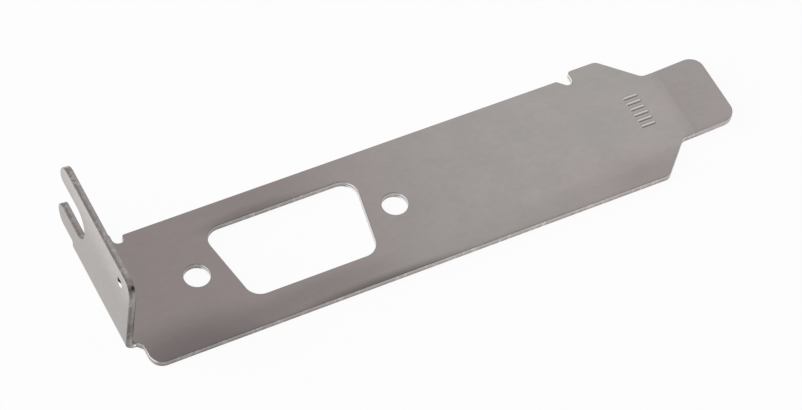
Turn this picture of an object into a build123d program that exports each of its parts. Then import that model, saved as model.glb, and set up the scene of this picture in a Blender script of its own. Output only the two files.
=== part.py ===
from build123d import *
import math
import os

# Low profile slot bracket, folded from one piece of plated steel sheet.
# The plate lies flat with its card side down. +X runs from the flange to the tongue,
# +Y is the side that the flange's screw slot opens to, +Z is the side that faces out
# of the computer. The origin is midway between the two connector screw holes, on the
# card side of the plate.

# Sheet
thickness = 0.86
rolled_rim_radius = 0.11  # on the side of the sheet that faces out of the computer
burr_side_bevel = 0.05  # on its other side
fold_radius = 1.25  # outside of the fold

# Plate
overall_length = 79.23  # back of the flange to the end of the tongue
full_width = 18.42
edge_trim_at_notch = 0.82  # how far the long edge on the slot side is set back
edge_trim_at_slit = 0.66
near_corner_radius = 1.2
far_corner_radius = 1.25

# Connector opening and its screws
screw_spacing = 24.99
screw_hole_diameter = 3.10
fold_to_screw = 11.22
cutout_width = 17.60  # at half its height
cutout_height = 10.66
cutout_side_angle = 10.0
cutout_corner_radius = 1.9
cutout_offset = 0.05  # towards the slot side

# Tongue
tongue_width = 10.10
tongue_corner_radius = 1.8
tongue_root_radius = 1.0
shoulder_length = 4.16  # the shoulders run at 45 degrees
tongue_length = 7.46
tongue_lift_angle = 3.6  # the tongue is set up a little out of the plate
tongue_crease_radius = 20.0
tongue_crease_start = 0.6  # from the foot of the shoulders

# Flange
flange_height = 11.43
flange_lean = 2.5  # the fold is a little past square
flange_near_setback = 3.60  # from the plate's near edge
flange_reach = 22.58  # from the plate's near edge to the prong tips
flange_corner_radius = 1.8
prong_tip_radius = 1.55
prong_clearance = 1.80  # height of the lower prong's underside
prong_root_radius = 0.35
slot_width = 4.46
slot_height = 6.65  # height of the slot's middle line
slot_end = 15.58  # from the plate's near edge to the closed end
slot_mouth_radius = 0.92
pip_radius = 0.75
pip_depth = 0.22
pip_from_near_edge = 2.50
pip_from_top = 1.78

# Reliefs beside the fold, and the notch beside the far shoulder
near_relief = 1.92  # back of the flange to the plate's near end
near_relief_slope = 0.64  # its root drops this much from the fold to the plate
near_relief_start = 0.08  # the slope starts this far past the fold
near_relief_bend_radius = 0.17
near_relief_root_radius = 0.45
near_relief_corner_radius = 1.6
slit_start = 4.45
slit_width = 1.26
slit_bottom = 16.80  # from the plate's near edge
slit_root_radius = 0.7  # beside the fold
slit_far_root_radius = 0.4
slit_corner_radius = 0.3
notch_wall = 3.90  # from the notch's upright wall to the shoulder
notch_ramp_length = 1.81
notch_root_radius = 0.57
notch_corner_radius = 0.55
notch_ramp_radius = 0.3

# Places worked out from the sizes above
back_x = -fold_to_screw - screw_spacing / 2
tip_x = back_x + overall_length
root_x = tip_x - tongue_length
shoulder_x = root_x - shoulder_length
notch_x = shoulder_x - notch_wall
near_y = -full_width / 2
far_y = full_width / 2
notch_trim_y = far_y - edge_trim_at_notch
slit_trim_y = far_y - edge_trim_at_slit
slit_y = near_y + slit_bottom
flange_near_y = near_y + flange_near_setback
prong_y = near_y + flange_reach
fold_x = back_x + fold_radius
pip_y = flange_near_y + pip_from_near_edge
pip_height = flange_height - pip_from_top
near_relief_x = back_x + near_relief
slit_x = back_x + slit_start
cutout_flare = cutout_height / 2 * math.tan(math.radians(cutout_side_angle))
cutout_far_y = cutout_offset + cutout_height / 2
cutout_near_y = cutout_offset - cutout_height / 2

# Corners of the flat leaf in plan, each with its radius
leaf_corners = [
    (fold_x, flange_near_y, 0),
    (fold_x + near_relief_start, flange_near_y, near_relief_bend_radius),
    (near_relief_x, flange_near_y - near_relief_slope, near_relief_root_radius),
    (near_relief_x, near_y, near_relief_corner_radius),
    (shoulder_x, near_y, near_corner_radius),
    (root_x, -tongue_width / 2, tongue_root_radius),
    (tip_x, -tongue_width / 2, tongue_corner_radius),
    (tip_x, tongue_width / 2, tongue_corner_radius),
    (root_x, tongue_width / 2, tongue_root_radius),
    (shoulder_x, far_y, far_corner_radius),
    (notch_x, far_y, notch_corner_radius),
    (notch_x, notch_trim_y - notch_ramp_length, notch_root_radius),
    (notch_x - notch_ramp_length, notch_trim_y, notch_ramp_radius),
    (slit_x + slit_width, slit_trim_y, slit_corner_radius),
    (slit_x + slit_width, slit_y, slit_far_root_radius),
    (slit_x, slit_y, slit_root_radius),
    (slit_x, far_y, slit_corner_radius),
    (fold_x, far_y, 0),
]

# The flange's own plane: local x runs along the fold, local y up the flange,
# and the normal points through the sheet towards the tongue
lean = math.radians(flange_lean)
outward = Vector(-math.cos(lean), 0, math.sin(lean))
upward = Vector(math.sin(lean), 0, math.cos(lean))
fold_centre = Vector(fold_x, 0, fold_radius)
flange_origin = fold_centre + outward * fold_radius - upward * fold_radius
flange_plane = Plane(origin=flange_origin, x_dir=(0, 1, 0), z_dir=-outward)


# A face of the sheet looks through it to within the first angle, and the wall of a cut
# looks across it by at least the second
skin_angle = 45
wall_angle = 70


def inner_side(point):
    """Direction through the sheet, towards the side that faces out of the computer."""
    if point.X > fold_x:
        return Vector(0, 0, 1)
    if point.Z > fold_radius:
        return -outward
    return Vector(fold_centre.X - point.X, 0, fold_centre.Z - point.Z).normalized()


def find_rims(sheet, side):
    """Punched rims on one side of the sheet: 1 for the side that faces out, -1 for the other.

    A rim lies between a face of the sheet on that side and the wall of a cut.
    """
    faces = sheet.faces()
    rims = []
    for edge in sheet.edges():
        middle = edge.position_at(0.5)
        through = inner_side(middle) * side
        touching = [face.normal_at(middle).get_angle(through) for face in faces if edge in face.edges()]
        if len(touching) == 2 and min(touching) < skin_angle and max(touching) > wall_angle:
            rims.append(edge)
    return rims


with BuildPart() as bracket:
    # Flat leaf and tongue: the outline in plan, with the punched openings
    with BuildSketch(Plane.XY.offset(-thickness)):
        with BuildLine():
            FilletPolyline(
                [(x, y) for x, y, radius in leaf_corners],
                radius=[radius for x, y, radius in leaf_corners],
                close=True,
            )
        make_face()
        with BuildLine():
            FilletPolyline(
                (-cutout_width / 2 - cutout_flare, cutout_far_y),
                (cutout_width / 2 + cutout_flare, cutout_far_y),
                (cutout_width / 2 - cutout_flare, cutout_near_y),
                (-cutout_width / 2 + cutout_flare, cutout_near_y),
                radius=cutout_corner_radius,
                close=True,
            )
        make_face(mode=Mode.SUBTRACT)
        with GridLocations(screw_spacing, 0, 2, 1):
            Circle(screw_hole_diameter / 2, mode=Mode.SUBTRACT)
    extrude(amount=4 * thickness)

    # The same leaf from the side: flat, then a slow crease into the tongue
    with BuildSketch(Plane.XZ):
        with BuildLine():
            flat = Line((fold_x, 0), (root_x + tongue_crease_start, 0))
            crease = JernArc(flat @ 1, (1, 0), tongue_crease_radius, tongue_lift_angle)
            PolarLine(crease @ 1, tongue_length, direction=crease % 1)
            offset(amount=thickness, side=Side.LEFT)
        make_face()
    extrude(amount=full_width, both=True, mode=Mode.INTERSECT)

    # Fold: a length of bend between the leaf and the flange
    with BuildSketch(Plane.XZ.offset(-flange_near_y)):
        with BuildLine():
            JernArc((fold_x, 0), (-1, 0), fold_radius, -(90 + flange_lean))
            offset(amount=thickness, side=Side.RIGHT)
        make_face()
    extrude(amount=flange_near_y - far_y)

    # Flange with its two prongs and the open screw slot between them
    with BuildSketch(flange_plane) as flange_view:
        with BuildLine():
            FilletPolyline(
                (flange_near_y, fold_radius),
                (flange_near_y, flange_height),
                (prong_y, flange_height),
                (prong_y, prong_clearance),
                (far_y, prong_clearance),
                (far_y, fold_radius),
                radius=[
                    0,
                    flange_corner_radius,
                    prong_tip_radius,
                    prong_tip_radius,
                    prong_root_radius,
                    0,
                ],
                close=True,
            )
        make_face()
        slot_length = 2 * (flange_reach - slot_end)
        with Locations((near_y + slot_end + slot_length / 2, slot_height)):
            SlotOverall(slot_length, slot_width, mode=Mode.SUBTRACT)
        slot_mouth = flange_view.vertices().sort_by_distance((prong_y, slot_height, 0))[:2]
        fillet(slot_mouth, radius=slot_mouth_radius)
    extrude(amount=thickness)

    # Punching rolls the rims of the side that faces out and leaves a small bevel on the other
    fillet(find_rims(bracket, 1), radius=rolled_rim_radius)
    chamfer(find_rims(bracket, -1), length=burr_side_bevel)

    # Shallow pip in the flange's outer face
    with Locations(flange_plane):
        with Locations((pip_y, pip_height, pip_depth - pip_radius)):
            Sphere(pip_radius, mode=Mode.SUBTRACT)

bracket.part.label = "bracket"
os.makedirs("parts", exist_ok=True)
export_step(bracket.part, "parts/bracket.step")
print(len(bracket.part.solids()), bracket.part.volume, bracket.part.bounding_box())
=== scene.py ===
import math

import bpy
from mathutils import Matrix, Vector


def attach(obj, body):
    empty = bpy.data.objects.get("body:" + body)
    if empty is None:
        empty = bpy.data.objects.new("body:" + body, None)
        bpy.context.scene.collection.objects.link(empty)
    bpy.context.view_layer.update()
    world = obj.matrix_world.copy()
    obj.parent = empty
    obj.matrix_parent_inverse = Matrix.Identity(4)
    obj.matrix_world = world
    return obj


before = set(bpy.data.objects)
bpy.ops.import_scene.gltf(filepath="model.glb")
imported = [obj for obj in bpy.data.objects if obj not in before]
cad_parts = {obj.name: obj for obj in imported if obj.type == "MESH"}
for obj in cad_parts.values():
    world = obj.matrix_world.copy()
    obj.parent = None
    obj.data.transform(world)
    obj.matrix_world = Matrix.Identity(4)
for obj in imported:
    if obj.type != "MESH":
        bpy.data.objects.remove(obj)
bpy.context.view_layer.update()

mm = 0.001
white = (1, 1, 1, 1)
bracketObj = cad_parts["bracket"]


# small helpers for node trees

def newMaterial(name):
    mat = bpy.data.materials.new(name)
    mat.use_nodes = True
    mat.node_tree.nodes.clear()
    return mat, mat.node_tree


def feed(tree, socket, value):  # a link for a socket, a plain setting for anything else
    if isinstance(value, bpy.types.NodeSocket):
        tree.links.new(value, socket)
    else:
        socket.default_value = value


def addNode(tree, kind, **inputs):  # inputs go by their Blender names, with _ for a space
    node = tree.nodes.new(kind)
    for key, value in inputs.items():
        feed(tree, node.inputs[key.replace("_", " ")], value)
    return node


def doMath(tree, operation, first, second=0.0, third=0.0):
    node = tree.nodes.new("ShaderNodeMath")
    node.operation = operation
    for socket, value in zip(node.inputs, (first, second, third)):
        feed(tree, socket, value)
    return node.outputs[0]


def times(tree, first, *others):
    for other in others:
        first = doMath(tree, "MULTIPLY", first, other)
    return first


def doVector(tree, operation, first, second=(0, 0, 0), scale=1.0):
    node = tree.nodes.new("ShaderNodeVectorMath")
    node.operation = operation
    feed(tree, node.inputs[0], first)
    if operation == "SCALE":
        feed(tree, node.inputs["Scale"], scale)
    else:
        feed(tree, node.inputs[1], second)
    return node.outputs["Value" if operation in ("DOT_PRODUCT", "LENGTH") else "Vector"]


def rampBetween(tree, value, low, high):  # 0 at low, 1 at high, smooth between, either way round
    node = tree.nodes.new("ShaderNodeMapRange")
    node.interpolation_type = "SMOOTHSTEP"
    tree.links.new(value, node.inputs["Value"])
    node.inputs["From Min"].default_value = low
    node.inputs["From Max"].default_value = high
    return node.outputs["Result"]


def mixColour(tree, factor, first, second, blend="MIX"):
    node = tree.nodes.new("ShaderNodeMix")
    node.data_type = "RGBA"
    node.blend_type = blend
    sockets = (node.inputs["Factor"], node.inputs[6], node.inputs[7])
    for socket, value in zip(sockets, (factor, first, second)):
        feed(tree, socket, value)
    return node.outputs[2]


def mixValue(tree, factor, first, second):
    node = tree.nodes.new("ShaderNodeMix")
    sockets = (node.inputs["Factor"], node.inputs[2], node.inputs[3])
    for socket, value in zip(sockets, (factor, first, second)):
        feed(tree, socket, value)
    return node.outputs[0]


def mixShader(tree, factor, first, second):
    node = tree.nodes.new("ShaderNodeMixShader")
    for socket, value in zip(node.inputs, (factor, first, second)):
        feed(tree, socket, value)
    return node.outputs[0]


def keepLight(tree, colour, inside, kept):  # the colour as it is outside, and kept times it inside
    return doVector(tree, "SCALE", colour, scale=mixValue(tree, inside, 1.0, kept))


def noiseAt(tree, coords, stretch, scale, detail=3.0, roughness=0.5):
    mapping = tree.nodes.new("ShaderNodeMapping")
    mapping.inputs["Scale"].default_value = stretch
    tree.links.new(coords, mapping.inputs["Vector"])
    noise = tree.nodes.new("ShaderNodeTexNoise")
    noise.inputs["Scale"].default_value = scale
    noise.inputs["Detail"].default_value = detail
    noise.inputs["Roughness"].default_value = roughness
    tree.links.new(mapping.outputs["Vector"], noise.inputs["Vector"])
    return noise.outputs["Fac"]


def towards(azimuth, elevation):  # unit vector, azimuth 0 along +Y and turning to +X
    az, el = math.radians(azimuth), math.radians(elevation)
    return Vector((math.sin(az) * math.cos(el), math.cos(az) * math.cos(el), math.sin(el)))


# camera, at the photograph's angle

cameraLook = {
    "azimuth": 32.361,  # degrees, 0 looks along +Y
    "elevation": 53.549,
    "roll": 7.073,
    "distance": 376.79 * mm,
    "aim": (13.396 * mm, 0.083 * mm, 0.0),
    "lens": 146.59,  # mm
    "sensor": 36,  # mm across
    "clip": (0.01, 20),  # nearest and furthest that it sees, in m
}


def makeCamera(look):
    az, roll = math.radians(look["azimuth"]), math.radians(look["roll"])
    forward = towards(look["azimuth"], -look["elevation"])
    level = Vector((math.cos(az), -math.sin(az), 0))
    up = level.cross(forward)
    right = math.cos(roll) * level + math.sin(roll) * up
    upright = -math.sin(roll) * level + math.cos(roll) * up
    data = bpy.data.cameras.new("photoCamera")
    data.sensor_fit = "HORIZONTAL"
    data.sensor_width = look["sensor"]
    data.lens = look["lens"]
    data.clip_start, data.clip_end = look["clip"]
    camera = bpy.data.objects.new("photoCamera", data)
    bpy.context.scene.collection.objects.link(camera)
    turn = Matrix((right, upright, -forward)).transposed()
    place = Vector(look["aim"]) - look["distance"] * forward
    camera.matrix_world = Matrix.Translation(place) @ turn.to_4x4()
    bpy.context.scene.camera = camera


makeCamera(cameraLook)
print("camera placed")


# studio: pale floor, soft lamps and a plain surround with a few soft panels and dark screens

floorLook = {
    "colour": (0.90, 0.90, 0.90, 1),
    "cameraWhite": 0.94,  # share of plain white in what the camera sees
    "glossyWhite": 0.60,  # and in what the metal mirrors
    "size": 6.0,  # m across
    "drop": 0.02 * mm,  # just under the part, so the two never share a plane
}


def makeFloor(look):
    mesh = bpy.data.meshes.new("studioFloor")
    half, height = look["size"] / 2, -look["drop"]
    corners = [(-half, -half), (half, -half), (half, half), (-half, half)]
    mesh.from_pydata([(x, y, height) for x, y in corners], [], [(0, 1, 2, 3)])
    floor = bpy.data.objects.new("studioFloor", mesh)
    bpy.context.scene.collection.objects.link(floor)
    mat, tree = newMaterial("studioFloorWhite")
    diffuse = addNode(tree, "ShaderNodeBsdfDiffuse", Color=look["colour"])
    plain = addNode(tree, "ShaderNodeEmission", Color=white, Strength=1.0)
    path = addNode(tree, "ShaderNodeLightPath").outputs
    seen = doMath(tree, "MAXIMUM", path["Is Camera Ray"], path["Is Transmission Ray"])
    seen = times(tree, seen, look["cameraWhite"])
    mirrored = times(tree, path["Is Glossy Ray"], look["glossyWhite"])
    share = doMath(tree, "MAXIMUM", seen, mirrored)
    surface = mixShader(tree, share, diffuse.outputs[0], plain.outputs[0])
    addNode(tree, "ShaderNodeOutputMaterial", Surface=surface)
    mesh.materials.append(mat)


surroundLook = {
    "level": 0.48,
    "dimTint": (1.04, 1.0, 1.01, 1),
    "brightTint": (1.0, 1.0, 0.99, 1),
    "tintLevels": (0.4, 0.8),  # levels where the one tint starts to turn into the other, and ends
}
# azimuth and elevation, level, and how far from the centre each starts and is in full, in degrees;
# later ones lie over earlier ones
panelLooks = {
    "farPanel": {"at": (42.2, 47.8), "level": 0.74, "away": (11.6, 7.2)},
    "leftPanel": {"at": (-86.0, 12.0), "level": 1.4, "away": (52.0, 30.0)},
    "nearScreen": {"at": (140.0, 40.0), "level": 0.36, "away": (55.0, 34.0)},
    "cornerScreen": {"at": (157.0, 31.0), "level": 0.03, "away": (19.5, 11.5)},
}


def makeSurround(look, panels):
    world = bpy.data.worlds.new("studioSurround")
    bpy.context.scene.world = world
    world.use_nodes = True
    tree = world.node_tree
    tree.nodes.clear()
    ray = addNode(tree, "ShaderNodeTexCoord").outputs["Generated"]
    level = look["level"]
    for panel in panels.values():
        across = doVector(tree, "DOT_PRODUCT", ray, towards(*panel["at"]))
        edges = (math.cos(math.radians(angle)) for angle in panel["away"])
        level = mixValue(tree, rampBetween(tree, across, *edges), level, panel["level"])
    brightness = rampBetween(tree, level, *look["tintLevels"])
    tint = mixColour(tree, brightness, look["dimTint"], look["brightTint"])
    sky = addNode(tree, "ShaderNodeBackground", Color=tint, Strength=level)
    plain = addNode(tree, "ShaderNodeBackground", Color=white, Strength=1.0)
    path = addNode(tree, "ShaderNodeLightPath")
    surface = mixShader(tree, path.outputs["Is Camera Ray"], sky.outputs[0], plain.outputs[0])
    addNode(tree, "ShaderNodeOutputWorld", Surface=surface)


lampLooks = {  # azimuth and elevation, distance and size in m, power in W
    "keySoftbox": {"at": (-62.0, 24.0), "away": 0.75, "size": 0.45, "power": 2.2},
    "nearSoftbox": {"at": (-150.0, 50.0), "away": 0.80, "size": 0.40, "power": 0.7},
}


def makeLamp(name, look):
    data = bpy.data.lights.new(name, "AREA")
    data.shape = "SQUARE"
    data.size = look["size"]
    data.energy = look["power"]
    lamp = bpy.data.objects.new(name, data)
    bpy.context.scene.collection.objects.link(lamp)
    outwards = towards(*look["at"])
    lamp.location = Vector(cameraLook["aim"]) + look["away"] * outwards
    lamp.rotation_euler = outwards.to_track_quat("Z", "Y").to_euler()
    lamp.visible_glossy = False  # the metal mirrors the panels, not the lamps


makeFloor(floorLook)
makeSurround(surroundLook, panelLooks)
for lampName, lampLook in lampLooks.items():
    makeLamp(lampName, lampLook)
print("studio lit")


# plated steel sheet; sizes and places in mm, in the part's own frame
# a pair of numbers says where something starts and where it is in full

sheetShape = {  # as it was built
    "thickness": 0.86,
    "foldRadius": 1.25,  # outside of the fold
    "foldX": -22.465,  # where the fold ends and the plate starts
    "lean": 2.5,  # degrees that the flange is past square
}
surfaceLimits = {  # how squarely each kind of surface looks along an axis
    "wall": (0.72, 0.50),
    "foldWall": (0.50, 0.72),
    "rimBesideFace": (0.97, 0.85),
    "rimBesideWall": (0.30, 0.55),
    "facingFlange": (-0.55, -0.85),
    "facingNear": (-0.45, -0.80),
}


def sheetPlaces(tree, shape, limits):  # where a point is, and on which kind of surface
    coords = addNode(tree, "ShaderNodeTexCoord")
    normal = coords.outputs["Normal"]
    spot = doVector(tree, "SCALE", coords.outputs["Object"], scale=1 / mm)
    place = addNode(tree, "ShaderNodeSeparateXYZ", Vector=spot)
    facing = addNode(tree, "ShaderNodeSeparateXYZ", Vector=normal)
    x, y, z = (place.outputs[i] for i in range(3))
    lean = math.radians(shape["lean"])
    outward = (-math.cos(lean), 0, math.sin(lean))
    onPlate = doMath(tree, "GREATER_THAN", x, shape["foldX"])
    onFlange = doMath(tree, "GREATER_THAN", z, shape["foldRadius"])

    def pick(forFold, forFlange, forPlate):
        return mixValue(tree, onPlate, mixValue(tree, onFlange, forFold, forFlange), forPlate)

    # walls of the cuts, and the rims between walls and faces
    flat = doMath(tree, "ABSOLUTE", facing.outputs["Z"])
    sideways = doMath(tree, "ABSOLUTE", facing.outputs["Y"])
    upright = doMath(tree, "ABSOLUTE", doVector(tree, "DOT_PRODUCT", normal, outward))
    foldWall = rampBetween(tree, sideways, *limits["foldWall"])
    flangeWall = rampBetween(tree, upright, *limits["wall"])
    plateWall = rampBetween(tree, flat, *limits["wall"])
    across = mixValue(tree, onPlate, upright, flat)
    besideFace = rampBetween(tree, across, *limits["rimBesideFace"])
    besideWall = rampBetween(tree, across, *limits["rimBesideWall"])
    facingFlange = rampBetween(tree, facing.outputs["X"], *limits["facingFlange"])
    facingNear = rampBetween(tree, facing.outputs["Y"], *limits["facingNear"])

    # depth through the sheet, 0 on its card side
    fromFold = tree.nodes.new("ShaderNodeCombineXYZ")
    feed(tree, fromFold.inputs["X"], doMath(tree, "SUBTRACT", x, shape["foldX"]))
    feed(tree, fromFold.inputs["Z"], doMath(tree, "SUBTRACT", z, shape["foldRadius"]))
    foldOut = doVector(tree, "LENGTH", fromFold.outputs[0])
    flangeOut = doVector(tree, "DOT_PRODUCT", fromFold.outputs[0], outward)
    foldDepth, flangeDepth = (
        doMath(tree, "SUBTRACT", shape["foldRadius"], out) for out in (foldOut, flangeOut)
    )
    depth = pick(foldDepth, flangeDepth, z)
    return {
        "object": coords.outputs["Object"],
        "spot": spot,
        "x": x,
        "y": y,
        "z": z,
        "up": facing.outputs["Z"],
        "onPlate": onPlate,
        "onFlange": onFlange,
        "wall": pick(foldWall, flangeWall, plateWall),
        "rim": times(tree, besideFace, besideWall),
        "facingFlange": times(tree, facingFlange, onPlate),
        "facingNear": times(tree, facingNear, onPlate),
        "depth": doMath(tree, "DIVIDE", depth, shape["thickness"]),
    }


def awayFrom(tree, at, point):
    return doVector(tree, "LENGTH", doVector(tree, "SUBTRACT", at["spot"], point))


# faces of the sheet

faceLook = {
    "plating": (0.538, 0.503, 0.492, 1),
    "platingCool": (0.520, 0.498, 0.476, 1),
    "cloudSize": 220.0,  # slow change between the two
    "cloudRange": (0.35, 0.65),
    "flangeSideTone": (0.495, 0.440, 0.435, 1),  # darker, pinker tone towards the flange
    "flangeSideX": (30.0, -12.0),
    "flangeFootShade": (0.752, 0.742, 0.735, 1),  # painted shade: the flange darker at its foot and lighter at its top
    "flangeTopLight": (1.060, 1.045, 1.030, 1),
    "flangeZ": (6.2, 12.2),
    # painted light: the tongue a little lighter past its crease
    "tongueLightening": 1.05,
    "tongueX": (49.2, 50.8),
    "gloss": 0.20,  # roughness
    "glossSpread": 0.06,
    "mottleSize": 1700.0,
    "mottleStretch": (0.6, 1, 1),
    "mottle": 0.12,  # how much lighter or darker the spots are
    "flangeMottle": 0.28,
}
shadePatches = [  # painted shade: centre x and y, half sizes, and how much light is left there
    (-17.0, -10.0, 15.0, 7.0, 0.66),
    (-1.0, 7.4, 12.0, 2.6, 0.92),
    (-3.0, 5.4, 9.0, 1.5, 0.76),
    (0.0, -7.4, 13.0, 2.6, 0.84),
    (6.0, -9.3, 13.0, 1.25, 0.62),
    (30.0, -7.8, 16.0, 2.6, 0.94),
    (43.0, -8.2, 9.0, 3.6, 0.88),
]
warmPatches = [  # centre x and y, half sizes, and the tint there
    (39.5, -7.5, 15.0, 6.0, (1.0, 0.955, 0.968, 1)),
    (52.0, 0.0, 7.0, 7.0, (1.0, 0.975, 0.990, 1)),
]
patchEdge = (1.0, 0.2)  # share of the half sizes where a patch starts and is in full


def patchAt(tree, at, x, y, halfX, halfY):  # 1 in the middle of a soft oval patch, 0 outside it
    away = doVector(tree, "SUBTRACT", at["spot"], (x, y, 0.0))
    away = doVector(tree, "MULTIPLY", away, (1 / halfX, 1 / halfY, 0.0))
    return rampBetween(tree, doVector(tree, "LENGTH", away), *patchEdge)


def faceColour(tree, at, cloud, look):
    clouded = rampBetween(tree, cloud, *look["cloudRange"])
    face = mixColour(tree, clouded, look["plating"], look["platingCool"])
    towardsFlange = times(tree, rampBetween(tree, at["x"], *look["flangeSideX"]), at["onPlate"])
    face = mixColour(tree, towardsFlange, face, look["flangeSideTone"])
    # painted shade: the flange darker towards its foot, lighter towards its top
    raised = rampBetween(tree, at["z"], *look["flangeZ"])
    flangeShading = mixColour(tree, raised, look["flangeFootShade"], look["flangeTopLight"])
    flangeFace = mixColour(tree, 1.0, face, flangeShading, "MULTIPLY")
    face = mixColour(tree, at["onPlate"], flangeFace, face)
    # painted light: the tongue a little lighter past its crease
    onTongue = rampBetween(tree, at["x"], *look["tongueX"])
    face = keepLight(tree, face, onTongue, look["tongueLightening"])
    # painted shade in soft patches
    for *oval, kept in shadePatches:
        face = keepLight(tree, face, patchAt(tree, at, *oval), kept)
    for *oval, tint in warmPatches:
        face = mixColour(tree, patchAt(tree, at, *oval), face, tint, "MULTIPLY")
    return face


def mottled(tree, at, colour, look):  # small lighter and darker spots
    spots = noiseAt(tree, at["object"], look["mottleStretch"], look["mottleSize"], roughness=0.6)
    strength = mixValue(tree, at["onFlange"], look["mottle"], look["flangeMottle"])
    spots = doMath(tree, "MULTIPLY_ADD", doMath(tree, "SUBTRACT", spots, 0.5), strength, 1.0)
    return doVector(tree, "SCALE", colour, scale=spots)


# walls of the cuts; depths are shares of the thickness

cutWallLook = {
    "burnish": (0.53, 0.494, 0.478, 1),  # the part that the punch sheared smooth
    "burnishGloss": 0.20,
    "fracture": (0.43, 0.395, 0.379, 1),  # and the part that tore
    "fractureGloss": 0.42,
    "tornDepth": (0.55, 0.35),
    "tornWander": 0.5,  # how much the streaks move that
    "streakSize": 900.0,
    "streakStretch": (1, 1, 0.12),
    "glint": (0.70, 0.665, 0.65, 1),  # brighter streaks
    "glintSize": 1500.0,
    "glintStretch": (1, 1, 0.5),
    "glintRange": (0.50, 0.72),
    "nearKept": 0.66,  # light left on the walls of the near side, at their flange end
    "nearX": (22.0, -18.0),
    "flangeFacingHighlight": (0.93, 0.92, 0.91),  # painted highlight on the walls that face the flange
    "lineDepth": 0.60,  # place of the painted dark reflection line along those walls
    "lineHalf": (0.048, 0.12),
    "lineKept": 0.16,
    "endX": (-16.0, -18.0),  # the plate's near end
    "endY": (-6.4, -7.0),
    "endDepth": (0.40, 0.60),
}
flangeWallLook = {
    "kept": 0.60,  # how much light the flange's cut walls keep
    "keptUp": 0.92,  # and those that face up
    "up": (0.4, 0.9),  # how far up that is
    "darkBandKept": 0.62,  # a darker band on its near wall
    "darkBandZ": 3.6,
    "darkBandHalf": (1.9, 0.76),
    "darkBandY": (-5.0, -5.4),
}


def cutWallColour(tree, at, torn, look):
    cut = mixColour(tree, torn, look["burnish"], look["fracture"])
    glint = noiseAt(
        tree, at["object"], look["glintStretch"], look["glintSize"], detail=2.0, roughness=0.7
    )
    cut = mixColour(tree, rampBetween(tree, glint, *look["glintRange"]), cut, look["glint"])
    dimEnd = times(tree, at["facingNear"], rampBetween(tree, at["x"], *look["nearX"]))
    cut = keepLight(tree, cut, dimEnd, look["nearKept"])
    # painted highlight on the walls that face the flange, with a painted dark line along it
    offLine = doMath(tree, "ABSOLUTE", doMath(tree, "SUBTRACT", at["depth"], look["lineDepth"]))
    lineLight = mixValue(tree, rampBetween(tree, offLine, *look["lineHalf"]), look["lineKept"], 1.0)
    lined = doVector(tree, "SCALE", look["flangeFacingHighlight"], scale=lineLight)
    # painted highlight: at the plate's near end only the smooth upper half of the corner gets it
    smooth = rampBetween(tree, at["depth"], *look["endDepth"])
    smooth = times(tree, rampBetween(tree, at["y"], *look["endY"]), smooth)
    flangeFacingHighlight = mixValue(tree, rampBetween(tree, at["x"], *look["endX"]), 1.0, smooth)
    return mixColour(tree, times(tree, at["facingFlange"], flangeFacingHighlight), cut, lined)


def dimFlangeWalls(tree, at, cut, look):
    darkBand = doMath(tree, "ABSOLUTE", doMath(tree, "SUBTRACT", at["z"], look["darkBandZ"]))
    darkBand = rampBetween(tree, darkBand, *look["darkBandHalf"])
    darkBand = times(tree, darkBand, rampBetween(tree, at["y"], *look["darkBandY"]))
    kept = mixValue(tree, darkBand, look["kept"], look["kept"] * look["darkBandKept"])
    kept = mixValue(tree, rampBetween(tree, at["up"], *look["up"]), kept, look["keptUp"])
    return doVector(tree, "SCALE", cut, scale=mixValue(tree, at["onPlate"], kept, 1.0))


# rims, the pip and a painted highlight at the fold

rimLook = {
    "gloss": 0.40,
    # painted shade: the flange's rims kept darker
    "flangeKept": 0.85,
    "tongueLit": 1.8,  # how much lighter the plate's rims get towards the tongue
    "litX": (12.0, 44.0),
}
pipLook = {
    "centre": (-23.35, -3.11, 9.70),
    "clear": 1.0,  # no flange rim is nearer than this
    # painted highlight: white round the pip's rim
    "wall": (1.0, 0.99, 0.98, 1),
    "pipHighlightAway": (0.60, 0.50),
    "pipShadeCentre": (-23.20, -2.80, 9.82),  # painted shade: dark spot at the top of the pip
    "pipShadeAway": (0.50, 0.35),
    "pipShade": (0.004, 0.004, 0.004, 1),
}
foldGlintLook = {  # painted highlight where the fold meets its near relief
    "centre": (-22.62, -5.61, 0.45),
    "away": (0.22, 0.132),
    "colour": (1.0, 0.99, 0.97, 1),
}


def finishRims(tree, at, colour, pipAway, look):
    offPip = doMath(tree, "GREATER_THAN", pipAway, pipLook["clear"])
    # painted shade on the flange's rims
    flangeRim = times(tree, at["rim"], at["onFlange"], offPip)
    colour = keepLight(tree, colour, flangeRim, look["flangeKept"])
    litRim = times(tree, at["rim"], rampBetween(tree, at["x"], *look["litX"]))
    return keepLight(tree, colour, litRim, look["tongueLit"])


def finishPip(tree, at, colour, pipAway, look):
    # painted highlight round the pip's rim, and painted shade at its top
    wall = times(tree, rampBetween(tree, pipAway, *look["pipHighlightAway"]), at["rim"])
    colour = mixColour(tree, wall, colour, look["wall"])
    pipShade = rampBetween(tree, awayFrom(tree, at, look["pipShadeCentre"]), *look["pipShadeAway"])
    return mixColour(tree, pipShade, colour, look["pipShade"])


# relief: faces drawn down along the punched edges, slow waves, streaks and grain

rollLook = {
    "tilt": 0.09,  # at the very edge, as a slope
    "tiltAtTongue": 0.05,
    "tiltX": (16.0, 44.0),
    "reach": 0.40,
    "up": (0.8, 0.95),  # only faces that look up are tilted
    "nearY": -9.21,  # near edge of the plate
    "tongueX": 48.0,
    "tongueY": -5.05,  # and of the tongue
    "openingX": (9.0, 7.0),
    "openingY": 5.3,
    "openingEdgeY": 5.38,  # far edge of the connector opening
    "shoulder": 53.105,  # x less y along the near shoulder, which runs at 45 degrees
}
reliefLook = {
    "waveSize": 260.0,  # slow waves in the rolled face
    "waveHeight": 0.0018,
    "streakHeight": 0.02,
    "grainSize": 5000.0,
    "grainStretch": (0.35, 1, 1),
    "grainHeight": 0.02,
    "grainStrength": 0.03,
}


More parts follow.
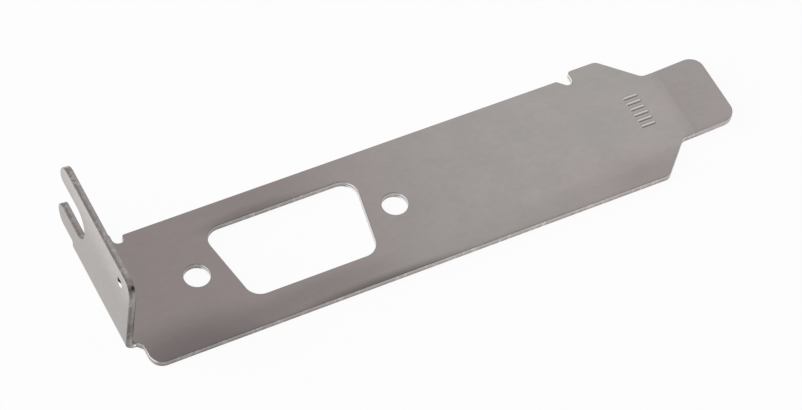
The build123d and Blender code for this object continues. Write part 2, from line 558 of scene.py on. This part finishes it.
def rolledEdges(tree, at, look):  # how the face tilts near its punched edges
    def fadeFrom(away):
        return doMath(tree, "EXPONENT", doMath(tree, "DIVIDE", away, -look["reach"]))

    def fadeFromY(edge):
        return fadeFrom(doMath(tree, "SUBTRACT", at["y"], edge))

    beforeTongue = doMath(tree, "LESS_THAN", at["x"], look["tongueX"])
    onTongue = doMath(tree, "SUBTRACT", 1.0, beforeTongue)
    besideOpening = rampBetween(tree, doMath(tree, "ABSOLUTE", at["x"]), *look["openingX"])
    beyondOpening = doMath(tree, "GREATER_THAN", at["y"], look["openingY"])
    near = times(tree, fadeFromY(look["nearY"]), beforeTongue)
    near = doMath(tree, "ADD", near, times(tree, fadeFromY(look["tongueY"]), onTongue))
    opening = times(tree, fadeFromY(look["openingEdgeY"]), beyondOpening, besideOpening)
    near = doMath(tree, "ADD", near, opening)
    diagonal = math.sqrt(0.5)
    shoulder = doMath(tree, "SUBTRACT", at["x"], look["shoulder"])
    shoulder = times(tree, doMath(tree, "SUBTRACT", at["y"], shoulder), diagonal)
    shoulder = times(tree, fadeFrom(shoulder), beforeTongue, diagonal)
    flatter = rampBetween(tree, at["x"], *look["tiltX"])
    tilt = mixValue(tree, flatter, look["tilt"], look["tiltAtTongue"])
    tilt = times(tree, rampBetween(tree, at["up"], *look["up"]), tilt)
    tiltX = times(tree, shoulder, tilt)
    tiltY = times(tree, doMath(tree, "ADD", near, shoulder), tilt, -1.0)
    return addNode(tree, "ShaderNodeCombineXYZ", X=tiltX, Y=tiltY).outputs[0]


def reliefNormal(tree, at, streak, look):
    normal = addNode(tree, "ShaderNodeNewGeometry").outputs["Normal"]
    normal = doVector(tree, "ADD", normal, rolledEdges(tree, at, rollLook))
    normal = doVector(tree, "NORMALIZE", normal)
    wave = noiseAt(tree, at["object"], (1, 1, 1), look["waveSize"], detail=1.0)
    height = times(tree, wave, look["waveHeight"])
    wallStreak = times(tree, streak, at["wall"])
    height = doMath(tree, "MULTIPLY_ADD", wallStreak, look["streakHeight"], height)
    relief = addNode(
        tree, "ShaderNodeBump", Strength=1.0, Distance=mm, Height=height, Normal=normal
    )
    grain = noiseAt(tree, at["object"], look["grainStretch"], look["grainSize"], detail=2.0)
    bump = addNode(
        tree,
        "ShaderNodeBump",
        Strength=look["grainStrength"],
        Distance=look["grainHeight"] * mm,
        Height=grain,
        Normal=relief.outputs[0],
    )
    return bump.outputs[0]


def makePlatedSteel():
    mat, tree = newMaterial("platedSteel")
    at = sheetPlaces(tree, sheetShape, surfaceLimits)
    cloud = noiseAt(tree, at["object"], (1, 1, 1), faceLook["cloudSize"])
    streak = noiseAt(tree, at["object"], cutWallLook["streakStretch"], cutWallLook["streakSize"])
    wander = cutWallLook["tornWander"]
    torn = doMath(tree, "SUBTRACT", at["depth"], wander / 2)
    torn = doMath(tree, "MULTIPLY_ADD", streak, wander, torn)
    torn = rampBetween(tree, torn, *cutWallLook["tornDepth"])
    pipAway = awayFrom(tree, at, pipLook["centre"])
    glintAway = awayFrom(tree, at, foldGlintLook["centre"])
    glint = rampBetween(tree, glintAway, *foldGlintLook["away"])

    cut = cutWallColour(tree, at, torn, cutWallLook)
    cut = dimFlangeWalls(tree, at, cut, flangeWallLook)
    colour = mixColour(tree, at["wall"], faceColour(tree, at, cloud, faceLook), cut)
    colour = finishRims(tree, at, colour, pipAway, rimLook)
    colour = mixColour(tree, glint, colour, foldGlintLook["colour"])
    colour = finishPip(tree, at, colour, pipAway, pipLook)
    colour = mottled(tree, at, colour, faceLook)

    spread = faceLook["glossSpread"]
    faceGloss = doMath(tree, "MULTIPLY_ADD", cloud, spread, faceLook["gloss"] - spread / 2)
    cutGloss = mixValue(tree, torn, cutWallLook["burnishGloss"], cutWallLook["fractureGloss"])
    roughness = mixValue(tree, at["wall"], faceGloss, cutGloss)
    roughness = mixValue(tree, at["rim"], roughness, rimLook["gloss"])
    shader = addNode(
        tree,
        "ShaderNodeBsdfPrincipled",
        Metallic=1.0,
        Base_Color=colour,
        Roughness=roughness,
        Normal=reliefNormal(tree, at, streak, reliefLook),
    )
    addNode(tree, "ShaderNodeOutputMaterial", Surface=shader.outputs[0])
    return mat


bracketObj.material_slots[0].material = makePlatedSteel()
print("bracket finished, faces", len(bracketObj.data.polygons))


# a plain row of short stamped ribs near the tongue

ribLook = {  # lengths in mm
    "centreX": 45.2,
    "firstY": -1.60,
    "pitch": 0.89,
    "count": 6,
    "length": 2.1,
    "width": 0.50,
    "top": sheetShape["thickness"],
    # how far in from the outline, and how high above the plate
    "profile": (
        (0.0, -0.004),
        (0.04, 0.030),
        (0.08, 0.060),
        (0.13, 0.084),
        (0.18, 0.095),
        (0.22, 0.098),
    ),
    "arcSteps": 10,  # points round each end
    # painted shade at the foot of each rib, painted highlight along its crest
    "foot": (0.34, 0.325, 0.315, 1),
    "footTop": 0.02,
    "crestHighlight": (0.95, 0.92, 0.90, 1),
    "crestFrom": 0.08,
    "gloss": 0.22,
}


def ribOutline(look, inset):  # points of a rib with round ends, along X
    radius = look["width"] / 2 - inset
    straight = (look["length"] - look["width"]) / 2
    steps = look["arcSteps"]
    points = []
    for side in (1, -1):
        for i in range(steps + 1):
            turn = math.pi * (i / steps - 0.5)
            x, y = straight + radius * math.cos(turn), radius * math.sin(turn)
            points.append((side * x, side * y))
    return points


def makeRibMetal(look):
    mat, tree = newMaterial("stampedMetal")
    coords = addNode(tree, "ShaderNodeTexCoord")
    spot = doVector(tree, "SCALE", coords.outputs["Object"], scale=1 / mm)
    place = addNode(tree, "ShaderNodeSeparateXYZ", Vector=spot)
    low, high = look["top"] + look["footTop"], look["top"] + look["crestFrom"]
    # painted shade at the foot of each rib, painted highlight along its crest
    raised = rampBetween(tree, place.outputs["Z"], low, high)
    colour = mixColour(tree, raised, look["foot"], look["crestHighlight"])
    shader = addNode(
        tree, "ShaderNodeBsdfPrincipled", Metallic=1.0, Base_Color=colour, Roughness=look["gloss"]
    )
    addNode(tree, "ShaderNodeOutputMaterial", Surface=shader.outputs[0])
    return mat


def makeStampedRibs(look):
    metal = makeRibMetal(look)
    for k in range(look["count"]):
        centreX, centreY = look["centreX"], look["firstY"] + k * look["pitch"]
        points, faces = [], []
        for inset, height in look["profile"]:
            z = (look["top"] + height) * mm
            for x, y in ribOutline(look, inset):
                points.append(((centreX + x) * mm, (centreY + y) * mm, z))
        ring = len(points) // len(look["profile"])
        for j in range(len(look["profile"]) - 1):
            for i in range(ring):
                here, after = j * ring + i, j * ring + (i + 1) % ring
                faces.append((here, after, after + ring, here + ring))
        faces.append(tuple(range(len(points) - ring, len(points))))
        mesh = bpy.data.meshes.new("stampedRib")
        mesh.from_pydata(points, [], faces)
        mesh.polygons.foreach_set("use_smooth", [True] * len(faces))
        mesh.materials.append(metal)
        rib = bpy.data.objects.new(f"stampedRib{k + 1}", mesh)
        bpy.context.scene.collection.objects.link(rib)
        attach(rib, "root")


makeStampedRibs(ribLook)
print("stamped ribs placed", ribLook["count"])

scene = bpy.context.scene
scene.view_settings.view_transform = "Standard"
